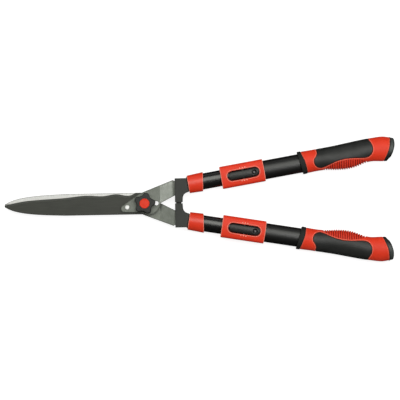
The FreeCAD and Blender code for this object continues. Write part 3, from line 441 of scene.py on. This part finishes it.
def loft(name, rings, place, look, body, replaced=(), ends=True, closed=False, sharp=35, marks=None):
    """Body through rings of points that go the same way round, in millimetres of the place. Marks are named
    values, one to each point."""
    count = len(rings[0])
    points = [place @ Vector((p[0] * MM, p[1] * MM, p[2] * MM)) for ring in rings for p in ring]
    spans = [(i, (i + 1) % len(rings)) for i in range(len(rings) if closed else len(rings) - 1)]
    faces = [(a * count + j, a * count + (j + 1) % count, b * count + (j + 1) % count, b * count + j)
             for a, b in spans for j in range(count)]
    if ends and not closed:
        faces.append(tuple(range(count - 1, -1, -1)))
        faces.append(tuple((len(rings) - 1) * count + j for j in range(count)))
    mesh = bpy.data.meshes.new(name)
    mesh.from_pydata(points, [], faces)
    for mark, values in (marks or {}).items():
        mesh.attributes.new(mark, "FLOAT", "POINT").data.foreach_set("value", np.ravel(values))
    work = bmesh.new()
    work.from_mesh(mesh)
    bmesh.ops.remove_doubles(work, verts=work.verts, dist=1e-7)
    bmesh.ops.dissolve_degenerate(work, edges=work.edges, dist=1e-8)
    bmesh.ops.recalc_face_normals(work, faces=work.faces)
    work.to_mesh(mesh)
    work.free()
    mesh.shade_smooth()
    mesh.set_sharp_from_angle(angle=radians(sharp))
    mesh.materials.append(look)
    piece = bpy.data.objects.new(name, mesh)
    bpy.context.scene.collection.objects.link(piece)
    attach(piece, body)
    if replaced:
        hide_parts(*replaced)
    return piece


# ---------------------------------------------------------------- grips

# along the handle: outer edge and inner edge of the grip from above
GRIP_EDGES = [(270, 20.4, -19.9), (286, 20.3, -19.7), (300, 19.9, -19.3), (314, 19.7, -19.1),
              (326, 19.6, -19.9), (340, 19.6, -22.5), (352, 19.8, -24.5), (366, 20.3, -25.6),
              (380, 20.8, -24.5), (392, 21.2, -21.8), (404, 21.4, -19.8), (414, 21.2, -20.4),
              (428, 20.9, -23.1), (438, 19.7, -24.4), (448, 16.3, -25.2), (462, 12.0, -26.0)]
GRIP_HALF_HEIGHT = 16.0
GRIP_MIDDLE = 380.0
# the core's skin lies this far inside the envelope
CORE_INSET = 0.08
TUBE_HALF_WIDTH, TUBE_HALF_HEIGHT = 16.8, 10.6
outer_edge = curve([s for s, _, _ in GRIP_EDGES], [out for _, out, _ in GRIP_EDGES])
inner_edge = curve([s for s, _, _ in GRIP_EDGES], [inn for _, _, inn in GRIP_EDGES])


def parting(*points):
    """Parting line across the grip, from points (along, across): along as a function of across."""
    points = sorted(points, key=lambda point: point[1])
    return curve([t for _, t in points], [s for s, _ in points])


RING_FRONT = parting((280.4, 30), (283.9, 0), (287.4, -30))
RING_REAR = parting((286.5, 30), (288.6, 19), (291.0, 10), (293.2, 0), (294.2, -10), (294.2, -20),
                    (294.0, -30))
CAP_FRONT = parting((449.0, 30), (448.2, 15.5), (447.0, 9.5), (444.8, 1), (441.8, -6), (438.4, -12),
                    (434.2, -18.5), (431.0, -23), (426.0, -30))
CAP_REAR = parting((454.7, 30), (455.4, 17), (455.1, 9.5), (453.5, 0), (449.4, -10), (443.8, -18),
                   (437.6, -24), (431.0, -30))
PAD_OUTLINE = [(316.2, 30), (316.2, 19), (316.3, 11.5), (312.8, 5.6), (309.4, 1.2), (308.9, -4.8),
               (311.3, -10.6), (317.0, -14.2), (324.5, -14.3), (334.0, -11.9), (346.0, -8.7),
               (360.0, -6.9), (373.5, -7.5), (386.7, -9.5), (397.5, -11.2), (406.0, -10.2),
               (412.1, -5.2), (415.0, 3.0), (414.1, 10.6), (410.5, 19.0), (408.2, 30)]
RIB_TOP = curve([316, 324, 333, 342, 351, 360, 370, 380, 391, 397, 403, 408],
                [-21.8, -18.6, -14.2, -11.3, -9.9, -9.2, -9.4, -10.9, -13.7, -16.4, -19.6, -23])
RIB_PITCH, RIB_DEPTH = 4.04, 1.9
RIB_START, RIB_FULL = 318, 323
RIB_FULL_END, RIB_END = 401, 407


def envelope(along, turn, inset):
    """Point of the grip's skin, sunk by the inset. The turn goes from the outer edge over the top."""
    out, inn = outer_edge(along), inner_edge(along)
    across = (out + inn) / 2 + ((out - inn) / 2 - inset) * np.cos(turn)
    return across, (GRIP_HALF_HEIGHT - inset) * np.sin(turn)


def pad_curve(count=600):
    """Points of the pad's outline from above, close together."""
    points = np.array(PAD_OUTLINE, float)
    reach = np.concatenate([[0], np.cumsum(np.hypot(*np.diff(points, axis=0).T))])
    fine = np.linspace(0, reach[-1], count)
    return np.stack([curve(reach, points[:, 0])(fine), curve(reach, points[:, 1])(fine)], axis=1)


PAD_CURVE = pad_curve()


def beyond_pad(along, across):
    """Distance from the pad's outline from above, negative on the pad."""
    here = np.stack([along.ravel(), across.ravel()], axis=1)
    start, leg = PAD_CURVE[:-1], np.diff(PAD_CURVE, axis=0)
    best = np.full(len(here), 1e9)
    sign = np.ones(len(here))
    for a, d in zip(start, leg):
        rel = here - a
        share = np.clip(rel @ d / (d @ d), 0, 1)
        gap = np.hypot(*(rel - share[:, None] * d).T)
        nearer = gap < best
        best[nearer] = gap[nearer]
        sign[nearer] = np.where(d[0] * rel[nearer, 1] - d[1] * rel[nearer, 0] > 0, -1, 1)
    return (best * sign).reshape(along.shape)


def skin(front, rear, shares, turns, inset):
    """Grid of points on the envelope between two parting lines, each row one ring round the grip."""
    across = envelope(np.full_like(turns, GRIP_MIDDLE), turns, 0)[0]
    first, last = front(across), rear(across)
    for _ in range(3):
        first = front(envelope(first, turns, 0)[0])
        last = rear(envelope(last, turns, 0)[0])
    along = first + (last - first) * np.array(shares)[:, None]
    round_about = np.broadcast_to(turns, along.shape)
    across, high = envelope(along, round_about, inset(along, round_about, along - first, last - along))
    return np.stack([along, across, high], axis=2)


def bore_ring(front, turns):
    """Ring of the tube's outline where a parting line crosses it."""
    across = TUBE_HALF_WIDTH * np.cos(turns)
    return np.stack([front(across), across, TUBE_HALF_HEIGHT * np.sin(turns)], axis=1)


def core_detail(place):
    """How far the red core's skin is sunk: under the pad, in the groove round it and between the ribs.
    Also says how deep a point lies between ribs, for painted shade there, how much painted highlight it gets
    on the lip round the pad and at the ends, and how near it is to the groove round the pad, for painted
    shade there."""
    def inset(along, turns, from_front, from_rear):
        across, _ = envelope(along, turns, 0)
        gap = beyond_pad(along, across)
        sunk = 1.7 * smooth_step(gap, 0.35, -0.05)
        lip = 0.22 * np.exp(-((gap - 1.25) / 0.75) ** 2)
        level = along * place[0][0] + across * place[0][1]
        wave = 1 - smooth_step(np.abs(np.sin(level * pi / RIB_PITCH)), 0.55, 0.98)
        ribbed = smooth_step(RIB_TOP(along) - across, 0.0, 0.9) * smooth_step(along, RIB_START, RIB_FULL)
        ribbed = ribbed * smooth_step(along, RIB_END, RIB_FULL_END)
        rolled = 0.7 * (np.exp(-from_front / 0.6) + np.exp(-from_rear / 0.6))
        # painted shade between the ribs follows the depth of the grooves
        groove = ribbed * (1 - wave)
        # painted shade in the groove round the pad
        pad_shade = smooth_step(gap, 0.75, 0.35)
        # painted highlight on the lip round the pad and at the front and rear ends
        edge_highlight = np.clip(np.exp(-((gap - 1.45) / 0.5) ** 2) * (1 - ribbed)
                         + np.exp(-from_front / 0.7) + np.exp(-from_rear / 0.7), 0, 1)
        depth = CORE_INSET + sunk - lip * (1 - ribbed) + RIB_DEPTH * ribbed * (1 - wave) + rolled
        return depth, groove, edge_highlight, pad_shade
    return inset


def make_core(side):
    """Red grip body: a ribbed skin round the tube, sunk where the pad lies on it."""
    place = grip_place(side)
    turns = np.linspace(0, 2 * pi, 176, endpoint=False)
    shares = np.linspace(0, 1, 400)
    detail = core_detail(place)
    kept = {}

    def inset(along, turned, from_front, from_rear):
        sunk, kept["groove"], kept["edge_highlight"], kept["pad_shade"] = detail(along, turned, from_front, from_rear)
        return sunk

    rings = list(skin(RING_REAR, CAP_FRONT, shares, turns, inset))
    rings += [bore_ring(CAP_FRONT, turns), bore_ring(RING_REAR, turns)]
    inside = np.zeros((2, len(turns)))
    marks = {mark: np.concatenate([values, inside]) for mark, values in kept.items()}
    loft(side + "_grip_body", rings, place, GROOVED_RED, side + "_handle",
         [side + "_grip_core"], closed=True, marks=marks)


def make_ring(side):
    """Black ring in front of the core, a little proud of it, with rolled edges."""
    turns = np.linspace(0, 2 * pi, 144, endpoint=False)
    shares = (0.0, 0.04, 0.12, 0.25, 0.5, 0.72, 0.86, 0.95, 1.0)
    proud, roll = 0.6, 1.0

    def inset(along, turns, from_front, from_rear):
        edge = np.minimum(from_front, from_rear)
        return -proud + roll * (1 - np.sqrt(np.clip(1 - (1 - np.clip(edge / roll, 0, 1)) ** 2, 0, 1)))

    rings = list(skin(RING_FRONT, RING_REAR, shares, turns, inset))
    rings += [bore_ring(RING_REAR, turns), bore_ring(RING_FRONT, turns)]
    loft(side + "_grip_collar", rings, grip_place(side), RING, side + "_handle",
         [side + "_grip_ring"], closed=True)


def make_end(side):
    """End cap: a narrow groove at the core, full sides and a rolled rear edge over a slanted face."""
    turns = np.linspace(0, 2 * pi, 144, endpoint=False)
    shares = [0, 0.02, 0.06, 0.12, 0.25, 0.4, 0.55, 0.66, 0.75, 0.83, 0.9, 0.95, 0.985, 1.0]
    roll = 2.6
    bottom_at, hub_at, slip = 440.0, 441.0, 0.999
    kept = []

    def inset(along, turns, from_front, from_rear):
        groove = 0.7 * np.exp(-from_front / 0.5)
        near = np.clip(1 - from_rear / roll, 0, 1)
        across, _ = envelope(along, turns, 0)
        kept.append(smooth_step(from_front, 0.8, 3.0) * smooth_step(across, -14, -6))
        return groove + roll * (1 - np.sqrt(np.clip(1 - near ** 2, 0, 1)))

    rings = list(skin(CAP_FRONT, CAP_REAR, shares, turns, inset))
    rim = rings[-1]
    middle = rim.mean(axis=0)
    face_shares = (0.85, 0.65, 0.4, 0.15, 0.0)
    for share in face_shares:
        ring = middle + (rim - middle) * share
        ring[:, 0] = CAP_REAR(ring[:, 1])
        rings.append(ring)
    deep = np.stack([np.full_like(turns, bottom_at), slip * TUBE_HALF_WIDTH * np.cos(turns),
                     slip * TUBE_HALF_HEIGHT * np.sin(turns)], axis=1)
    start = bore_ring(CAP_FRONT, turns)
    deep[:, 0] = np.maximum(start[:, 0] + 1.0, deep[:, 0])
    hub = np.stack([np.full_like(turns, hub_at), np.zeros_like(turns), np.zeros_like(turns)], axis=1)
    inside = np.zeros((3, len(turns)))
    face = np.tile(kept[-1][-1], (len(face_shares), 1))
    loft(side + "_grip_end", [hub, deep, start] + rings, grip_place(side), BANDED, side + "_handle",
         [side + "_end_cap"], ends=False,
         marks={"pale": np.concatenate([inside, kept[-1], face])})


def make_pad(side):
    """Soft overlay: lies over the grip's outer side, with a rolled edge all round."""
    points = PAD_CURVE
    across_edge = outer_edge(points[:, 0])
    points = points[points[:, 1] <= across_edge]
    middle = (outer_edge(points[:, 0]) + inner_edge(points[:, 0])) / 2
    half = (outer_edge(points[:, 0]) - inner_edge(points[:, 0])) / 2
    turn = np.arccos(np.clip((points[:, 1] - middle) / half, -1, 1))
    turn[0] = turn[-1] = 0.0
    edge = np.stack([points[:, 0], turn], axis=1)
    under = edge[::-1][1:-1] * (1, -1)
    loop = np.concatenate([edge, under, edge[:1]])
    round_mm = 18.0
    spine_start, spine_end, loop_points, ring_count = 336, 392, 380, 26
    reach = np.concatenate([[0], np.cumsum(np.hypot(np.diff(loop[:, 0]), np.diff(loop[:, 1]) * round_mm))])
    fine = np.linspace(0, reach[-1], loop_points, endpoint=False)
    loop = np.stack([np.interp(fine, reach, loop[:, 0]), np.interp(fine, reach, loop[:, 1])], axis=1)
    spine = np.stack([np.clip(loop[:, 0], spine_start, spine_end), np.zeros(len(loop))], axis=1)
    length = np.hypot(spine[:, 0] - loop[:, 0], (spine[:, 1] - loop[:, 1]) * round_mm)
    roll, raised, depth, gap = 0.7, 0.05, 1.5, 0.2

    def ring(inwards_mm=0.0, share=0.0, inset=0.0):
        step = np.clip((gap + inwards_mm) / length + share, 0, 1)[:, None]
        along, turned = (loop + (spine - loop) * step).T
        across, high = envelope(along, turned, inset)
        return np.stack([along, across, high], axis=1)

    def rolled(inwards_mm):
        near = max(0.0, 1 - inwards_mm / roll)
        return -raised + roll * (1 - sqrt(1 - near ** 2))

    shares = [(number / ring_count) ** 1.15 for number in range(1, ring_count + 1)]
    rings = [ring(share=1.0, inset=depth), ring(inset=depth)]
    rings += [ring(inwards, 0.0, rolled(inwards)) for inwards in (0.0, 0.03, 0.12, 0.28, 0.48, 0.7)]
    rings += [ring(roll, share, -raised) for share in shares]
    loft(side + "_grip_pad", rings, grip_place(side), SOFT, side + "_handle",
         [side + "_grip_overlay"], ends=False)


for side in SIDES:
    make_core(side)
    make_ring(side)
    make_end(side)
    make_pad(side)


# ---------------------------------------------------------------- rockers and sleeve details

ROCKER_MIDDLE = (Vector(joints["right_lock"]["pos_m"]) - PIVOT).dot(
    Vector(joints["right_telescope"]["axis"]).normalized()) / MM
ROCKER_LENGTH, ROCKER_WIDTH = 53.4, 13.6
SLEEVE_TOP = (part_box("right_lock_sleeve")[1].z - PIVOT.z) / MM
ROCKER_TOP = (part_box("right_lock_rocker")[1].z - PIVOT.z) / MM


def pill(length, width, count=96):
    """Outline of a slot with round ends, as (x, y) pairs from its middle."""
    radius, straight = width / 2, (length - width) / 2
    points = []
    for number in range(count):
        angle = 2 * pi * number / count
        shift = straight if cos(angle) > 1e-9 else -straight if cos(angle) < -1e-9 else 0.0
        points.append((shift + radius * cos(angle), radius * sin(angle)))
    return points


def rocker_outline(inset):
    """Outline of the rocker from above with points along its straight sides too."""
    radius, straight = ROCKER_WIDTH / 2 - inset, (ROCKER_LENGTH - ROCKER_WIDTH) / 2
    points = []
    for start, end, across in ((straight, -straight, radius), (-straight, straight, -radius)):
        points += [(x, across) for x in np.linspace(start, end, 40)]
        heading = 1 if across > 0 else -1
        turns = np.linspace(0, pi, 42)[1:-1]
        points += [(end - heading * radius * sin(turn), across * cos(turn)) for turn in turns]
    return points


def make_rocker(side):
    """Button with a crowned top, a rolled edge, a thumb dimple at the rear and a flat underside."""
    roll, end_drop, side_drop = 1.3, 1.2, 1.3
    dimple_x, dimple_radius, dimple_depth = 19.5, 4.4, 2.2
    bottom = 14.6

    def top(x, y):
        high = ROCKER_TOP - end_drop * (2 * x / ROCKER_LENGTH) ** 2 - side_drop * (2 * y / ROCKER_WIDTH) ** 2
        far = hypot(x - dimple_x, y) / dimple_radius
        if far < 1:
            high -= dimple_depth * (1 - far ** 2) ** 0.8
        return high

    rings, shade, highlight_and_wear = [], [], []
    insets = (6.75, 6.3, 5.8, 5.2, 4.6, 4.0, 3.4, 2.8, 2.2, 1.7, 1.3, 0.9, 0.5, 0.25, 0.08, 0.0)
    for inset in insets:
        near = max(0.0, 1 - inset / roll)
        drop = roll * (1 - sqrt(1 - near ** 2))
        outline = rocker_outline(inset)
        rings.append([(ROCKER_MIDDLE + x, y, top(x, y) - drop) for x, y in outline])
        far = np.array([hypot(x - dimple_x, y) / dimple_radius for x, y in outline])
        # painted shade round the dimple's wall and a painted highlight in its middle
        shade.append(smooth_step(far, 0.45, 0.6) * smooth_step(far, 1.1, 0.95))
        highlight_and_wear.append(0.7 * smooth_step(far, 0.5, 0.25))
    for inset in (0.0, insets[0]):
        outline = rocker_outline(inset)
        rings.append([(ROCKER_MIDDLE + x, y, bottom) for x, y in outline])
        shade.append(np.zeros(len(outline)))
        highlight_and_wear.append(np.zeros(len(outline)))
    loft(side + "_rocker_button", rings, handle_place(side, upright=True), ROCKER, side + "_rocker",
         [side + "_lock_rocker"], marks={"shade": np.array(shade), "highlight_and_wear": np.array(highlight_and_wear)})


def sleeve_top(across):
    """Height of the sleeve's arched top."""
    crown = 60.0
    return SLEEVE_TOP - across ** 2 / (2 * crown)


def make_bead(side):
    """Low bead moulded round the rocker's window."""
    window_length, window_width, margin = 58.0, 17.8, 1.3
    half_width, high, sunk = 0.7, 0.45, 0.3
    middle_line = pill(window_length + 2 * margin, window_width + 2 * margin)
    rings = []
    for number, (x, y) in enumerate(middle_line):
        heading = 2 * pi * number / len(middle_line)
        ring = []
        for step in range(12):
            turn = 2 * pi * step / 12
            aside = half_width * cos(turn)
            across = y + aside * sin(heading)
            rise = (high if sin(turn) > 0 else sunk) * sin(turn)
            ring.append((ROCKER_MIDDLE + x + aside * cos(heading), across, sleeve_top(across) + rise))
        rings.append(ring)
    loft(side + "_sleeve_bead", rings, handle_place(side, upright=True), BEAD_RED, side + "_handle",
         closed=True, sharp=80)


def make_dots(side):
    """Three small domes on each side of the rocker's pin."""
    radius, high, pitch, reach = 1.1, 0.5, 4.5, 11.4
    profile = ((1.0, -0.4), (1.0, 0.0), (0.9, high * 0.44), (0.7, high * 0.71), (0.4, high * 0.92),
               (0.0, high))
    turns = np.linspace(0, 2 * pi, 20, endpoint=False)
    for number in range(6):
        x = ROCKER_MIDDLE + pitch * (number % 3 - 1)
        y = reach if number < 3 else -reach
        rings = [[(x + r * radius * cos(turn), y + r * radius * sin(turn), sleeve_top(y) + z)
                  for turn in turns]
                 for r, z in profile]
        loft("%s_sleeve_dot_%d" % (side, number + 1), rings, handle_place(side, upright=True), DOT_RED,
             side + "_handle", sharp=80)


def make_coil(side):
    """Coil under the rocker's rear end."""
    low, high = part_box(side + "_rocker_spring")
    wire, coils, headroom, keep = 0.35, 3.5, 0.15, 0.30
    reach = (high.x - low.x) / 2 / MM - wire
    start, end = low.z / MM + wire, high.z / MM - wire - headroom
    section_points, ring_count = 12, 170
    section = np.linspace(0, 2 * pi, section_points, endpoint=False)
    rings = []
    for share in np.linspace(0, 1, ring_count):
        turn = 2 * pi * coils * share
        out = reach + wire * np.cos(section)
        level = start + (end - start) * share + wire * np.sin(section)
        rings.append(np.stack([out * cos(turn), out * sin(turn), level], axis=1))
    middle = Vector(((low.x + high.x) / 2, (low.y + high.y) / 2, 0))
    coil = loft(side + "_rocker_coil", rings, Matrix.Translation(middle), DARK_STEEL, side + "_handle",
                [side + "_rocker_spring"])
    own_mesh(coil)


for side in SIDES:
    make_rocker(side)
    make_coil(side)
    make_bead(side)
    make_dots(side)


# ---------------------------------------------------------------- knob cap

def make_knob_cap():
    """Red cap with a raised round rim and a shallow dome inside it."""
    low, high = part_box("knob_cap")
    radius = (high.x - low.x) / 2 / MM
    top, seat = (high.z - PIVOT.z) / MM, (low.z - PIVOT.z) / MM
    profile = [(0.0, seat), (radius, seat), (radius, top - 1.2), (radius - 0.12, top - 0.6),
               (radius - 0.45, top - 0.17), (radius - 0.95, top), (radius - 1.5, top - 0.12),
               (radius - 1.9, top - 0.45), (radius - 2.5, top - 0.55), (radius * 0.55, top - 0.32),
               (radius * 0.3, top - 0.2), (0.0, top - 0.15)]
    turns = np.linspace(0, 2 * pi, 96, endpoint=False)
    rings = [[(r * cos(turn), r * sin(turn), z) for turn in turns] for r, z in profile]
    loft("knob_cap_dome", rings, Matrix.Translation(PIVOT), RED, "knob", ["knob_cap"],
         ends=False)


make_knob_cap()


# ---------------------------------------------------------------- stage, lights and camera

VIEW_WIDTH = 0.7096
VIEW_CENTRE = Vector((0.00014, 0.00436))
VIEW_TURN = radians(-1.045)
LENS, SENSOR = 300.0, 36.0
FLOOR_SIZE, FLOOR_LEVEL = 12.0, -0.0005


def make_floor():
    """Pale floor just under the shears. It doesn't tint them from below."""
    mesh = bpy.data.meshes.new("floor")
    corners = ((-1, -1), (1, -1), (1, 1), (-1, 1))
    mesh.from_pydata([(x * FLOOR_SIZE, y * FLOOR_SIZE, FLOOR_LEVEL) for x, y in corners], [], [(0, 1, 2, 3)])
    floor = bpy.data.objects.new("floor", mesh)
    bpy.context.scene.collection.objects.link(floor)
    look = bpy.data.materials.new("floor")
    look.use_nodes = True
    shader = look.node_tree.nodes["Principled BSDF"]
    shader.inputs["Base Color"].default_value = (0.3, 0.3, 0.3, 1)
    shader.inputs["Roughness"].default_value = 0.9
    shader.inputs["Emission Color"].default_value = (1, 1, 1, 1)
    shader.inputs["Emission Strength"].default_value = 0.85
    mesh.materials.append(look)
    floor.visible_glossy = False
    floor.visible_diffuse = False


def make_world(ambient, shown):
    """White surroundings that light the shears faintly and look white to the camera."""
    world = bpy.data.worlds.new("studio")
    world.use_nodes = True
    tree = world.node_tree
    background = tree.nodes["Background"]
    background.inputs["Color"].default_value = (1, 1, 1, 1)
    path = tree.nodes.new("ShaderNodeLightPath")
    strength = tree.nodes.new("ShaderNodeMapRange")
    strength.inputs["To Min"].default_value = ambient
    strength.inputs["To Max"].default_value = shown
    tree.links.new(path.outputs["Is Camera Ray"], strength.inputs["Value"])
    tree.links.new(strength.outputs["Result"], background.inputs["Strength"])
    world.cycles_visibility.glossy = False
    bpy.context.scene.world = world


def make_light(name, target, lean_x, lean_y, distance, size, power, glossy=True, tint=(1, 1, 1)):
    """Rectangular soft light aimed at a point, leaning from the vertical by two angles in degrees."""
    lamp = bpy.data.lights.new(name, "AREA")
    lamp.shape = "RECTANGLE"
    lamp.size, lamp.size_y = size
    lamp.energy = power
    lamp.color = tint
    light = bpy.data.objects.new(name, lamp)
    bpy.context.scene.collection.objects.link(light)
    direction = Vector((sin(radians(lean_x)), sin(radians(lean_y)), 1.0))
    direction.z = sqrt(max(0.05, 1 - direction.x ** 2 - direction.y ** 2))
    light.location = Vector(target) + direction * distance
    light.rotation_euler = direction.to_track_quat("Z", "Y").to_euler()
    light.visible_camera = False
    light.visible_glossy = glossy


def make_camera():
    """Long lens straight above the shears, turned a little as the photograph is."""
    camera = bpy.data.objects.new("camera", bpy.data.cameras.new("camera"))
    bpy.context.scene.collection.objects.link(camera)
    camera.data.lens = LENS
    camera.data.sensor_width = SENSOR
    height = VIEW_WIDTH * LENS / SENSOR
    camera.location = (VIEW_CENTRE.x, VIEW_CENTRE.y, PIVOT.z + height)
    camera.rotation_euler = (0, 0, VIEW_TURN)
    camera.data.clip_end = 100
    bpy.context.scene.camera = camera


make_floor()
make_world(ambient=0.35, shown=1.0)
middle = (0, 0, 0.02)
make_light("softbox", middle, 0, 17, 1.5, (2.4, 0.8), 14.3, tint=(0.99, 1.0, 0.93))
make_light("side", middle, 0, 64, 1.5, (2.4, 0.5), 1.2)
make_light("top", middle, 0, 30, 1.8, (1.6, 1.6), 8, glossy=False)
make_light("arm", (-0.05, 0.02, 0.02), 24, 0, 1.4, (0.3, 0.3), 3)
make_camera()
bpy.context.scene.view_settings.view_transform = "Standard"
